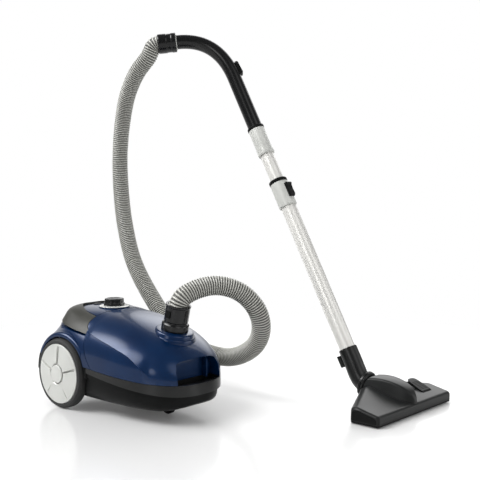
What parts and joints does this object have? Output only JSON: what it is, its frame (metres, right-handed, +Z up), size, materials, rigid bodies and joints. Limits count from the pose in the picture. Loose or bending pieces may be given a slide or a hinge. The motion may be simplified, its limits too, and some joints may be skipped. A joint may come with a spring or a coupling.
{
  "type": "canister vacuum cleaner",
  "caption": "Bagged canister vacuum cleaner with rear wheels, hinged lid, corrugated hose, bent grip, telescopic wand and tilting floor nozzle.",
  "frame": {"origin": "on the floor, at the centre of the plan box of the machine without its soft hose", "axes": "+X towards the canister's front and the nozzle's front edge, +Y from the canister towards the wand, +Z up"},
  "size_m": [0.8433, 0.608, 0.8381],
  "materials": {
    "cover_blue": "metallic dark blue",
    "base_black": "fine grained",
    "gloss_black": "gloss",
    "handle_grey": "satin",
    "silver_plastic": "satin metallic paint",
    "tube_metal": "bright satin",
    "hose_grey": "corrugated",
    "nozzle_grey": "satin",
    "soft_rubber": "matte",
    "steel": "plain",
    "foam": "soft",
    "paper": "plain"
  },
  "bodies": {
    "canister": {"base_housing": "base_black", "bumper_strip": "soft_rubber", "rear_cover": "cover_blue", "carrying_handle": "handle_grey", "dial_ring": "silver_plastic", "speed_control": "base_black", "hinge_pin": "steel", "left_axle": "steel", "right_axle": "steel", "motor": "steel", "motor_front_mount": "soft_rubber", "motor_rear_mount": "soft_rubber", "motor_filter": "foam", "exhaust_filter": "foam", "exhaust_grille": "base_black", "reel_bracket": "steel", "cord_outlet": "base_black", "bag_holder": "base_black", "dust_bag": "paper", "hose_middle": "hose_grey"},
    "lid": {"lid": "cover_blue", "lid_catch": "base_black", "inlet_seal": "soft_rubber", "hose_front": "hose_grey"},
    "hose_end": {"hose_connector": "gloss_black"},
    "button_left": {"connector_button_left": "base_black"},
    "button_right": {"connector_button_right": "base_black"},
    "power_knob": {"power_knob": "gloss_black"},
    "rewind_button": {"rewind_button": "base_black"},
    "left_wheel": {"left_wheel": "silver_plastic", "left_tyre": "soft_rubber"},
    "right_wheel": {"right_wheel": "silver_plastic", "right_tyre": "soft_rubber"},
    "caster": {"caster_fork": "base_black"},
    "caster_wheel": {"caster_wheel": "base_black"},
    "cord_reel": {"cord_reel": "base_black"},
    "wand": {"lower_tube": "tube_metal", "telescope_collar": "silver_plastic", "collar_cap": "base_black", "nozzle_elbow": "nozzle_grey", "parking_clip": "nozzle_grey", "hose_rear": "hose_grey"},
    "tube_release": {"tube_release": "base_black"},
    "upper_wand": {"upper_tube": "tube_metal", "grip_socket": "silver_plastic", "socket_ring": "base_black", "handgrip": "gloss_black", "swivel_sleeve": "silver_plastic"},
    "hose_cuff": {"hose_cuff": "gloss_black"},
    "suction_slider": {"suction_slider": "base_black"},
    "neck": {"nozzle_neck": "nozzle_grey"},
    "nozzle": {"nozzle_housing": "nozzle_grey", "neck_cover": "nozzle_grey", "nozzle_sole": "base_black"},
    "floor_pedal": {"floor_pedal": "base_black"},
    "brush_front": {"brush_strip_front": "base_black"},
    "brush_rear": {"brush_strip_rear": "base_black"},
    "roller_left": {"nozzle_roller_left": "soft_rubber"},
    "roller_right": {"nozzle_roller_right": "soft_rubber"}
  },
  "joints": [
    {"name": "lid_hinge", "type": "hinge", "parent": "canister", "child": "lid", "pos_m": [-0.17607, -0.171, 0.1885], "axis": [0, -1, 0], "range_deg": [0, 55], "deforming": ["hose_front"]},
    {"name": "hose_swivel", "type": "hinge", "parent": "lid", "child": "hose_end", "pos_m": [-0.02694, -0.171, 0.17683], "axis": [0.225, 0, 0.9744], "continuous": true},
    {"name": "button_left_press", "type": "slide", "parent": "hose_end", "child": "button_left", "axis": [0, -1, 0], "range_m": [0, 0.0015], "stiffness_N_per_m": 600},
    {"name": "button_right_press", "type": "slide", "parent": "hose_end", "child": "button_right", "axis": [0, 1, 0], "range_m": [0, 0.0015], "stiffness_N_per_m": 600},
    {"name": "power_turn", "type": "hinge", "parent": "canister", "child": "power_knob", "pos_m": [-0.21707, -0.171, 0.205], "axis": [0, 0, 1], "range_deg": [0, 270]},
    {"name": "rewind_press", "type": "slide", "parent": "canister", "child": "rewind_button", "axis": [0, 0, -1], "range_m": [0, 0.003], "stiffness_N_per_m": 700},
    {"name": "left_wheel_spin", "type": "hinge", "parent": "canister", "child": "left_wheel", "pos_m": [-0.24907, -0.061, 0.0735], "axis": [0, 1, 0], "continuous": true},
    {"name": "right_wheel_spin", "type": "hinge", "parent": "canister", "child": "right_wheel", "pos_m": [-0.24907, -0.281, 0.0735], "axis": [0, 1, 0], "continuous": true},
    {"name": "caster_swivel", "type": "hinge", "parent": "canister", "child": "caster", "pos_m": [-0.03607, -0.171, 0.033], "axis": [0, 0, 1], "continuous": true},
    {"name": "caster_spin", "type": "hinge", "parent": "caster", "child": "caster_wheel", "pos_m": [-0.04607, -0.171, 0.016], "axis": [0, 1, 0], "continuous": true},
    {"name": "reel_spin", "type": "hinge", "parent": "canister", "child": "cord_reel", "pos_m": [-0.24107, -0.104, 0.127], "axis": [0, 1, 0], "continuous": true},
    {"name": "wand_stroke", "type": "slide", "parent": "canister", "child": "wand", "axis": [1, 0, 0], "range_m": [-0.1, 0.25], "deforming": ["hose_middle"]},
    {"name": "tube_release_press", "type": "slide", "parent": "wand", "child": "tube_release", "axis": [0.4787, 0, -0.878], "range_m": [0, 0.004], "stiffness_N_per_m": 900},
    {"name": "telescope", "type": "slide", "parent": "wand", "child": "upper_wand", "axis": [-0.4787, 0, 0.878], "range_m": [0, 0.28], "deforming": ["hose_rear"]},
    {"name": "cuff_swivel", "type": "hinge", "parent": "upper_wand", "child": "hose_cuff", "pos_m": [-0.30274, 0.0818, 0.81334], "axis": [-0.7209, -0.6846, -0.1079], "continuous": true},
    {"name": "suction_slide", "type": "slide", "parent": "upper_wand", "child": "suction_slider", "axis": [0.5263, 0.0559, -0.8485], "range_m": [0, 0.012]},
    {"name": "neck_swivel", "type": "hinge", "parent": "wand", "child": "neck", "pos_m": [0.21793, 0.161, 0.045], "axis": [0.9563, 0, -0.2924], "range_deg": [-60, 60]},
    {"name": "nozzle_tilt", "type": "hinge", "parent": "neck", "child": "nozzle", "pos_m": [0.25693, 0.161, 0.033], "axis": [0, 1, 0], "range_deg": [-18, 8]},
    {"name": "pedal_tilt", "type": "hinge", "parent": "nozzle", "child": "floor_pedal", "pos_m": [0.31093, 0.247, 0.0285], "axis": [0, -1, 0], "range_deg": [0, 8]},
    {"name": "brush_front_lift", "type": "slide", "parent": "nozzle", "child": "brush_front", "axis": [0, 0, 1], "range_m": [0, 0.005]},
    {"name": "brush_rear_lift", "type": "slide", "parent": "nozzle", "child": "brush_rear", "axis": [0, 0, 1], "range_m": [0, 0.005]},
    {"name": "roller_left_spin", "type": "hinge", "parent": "nozzle", "child": "roller_left", "pos_m": [0.24693, 0.197, 0.008], "axis": [0, 1, 0], "continuous": true},
    {"name": "roller_right_spin", "type": "hinge", "parent": "nozzle", "child": "roller_right", "pos_m": [0.24693, 0.125, 0.008], "axis": [0, 1, 0], "continuous": true}
  ],
  "couplings": [
    {"joint": "brush_front_lift", "follows": "pedal_tilt", "m_per_rad": 0.0358},
    {"joint": "brush_rear_lift", "follows": "pedal_tilt", "m_per_rad": 0.0358}
  ]
}
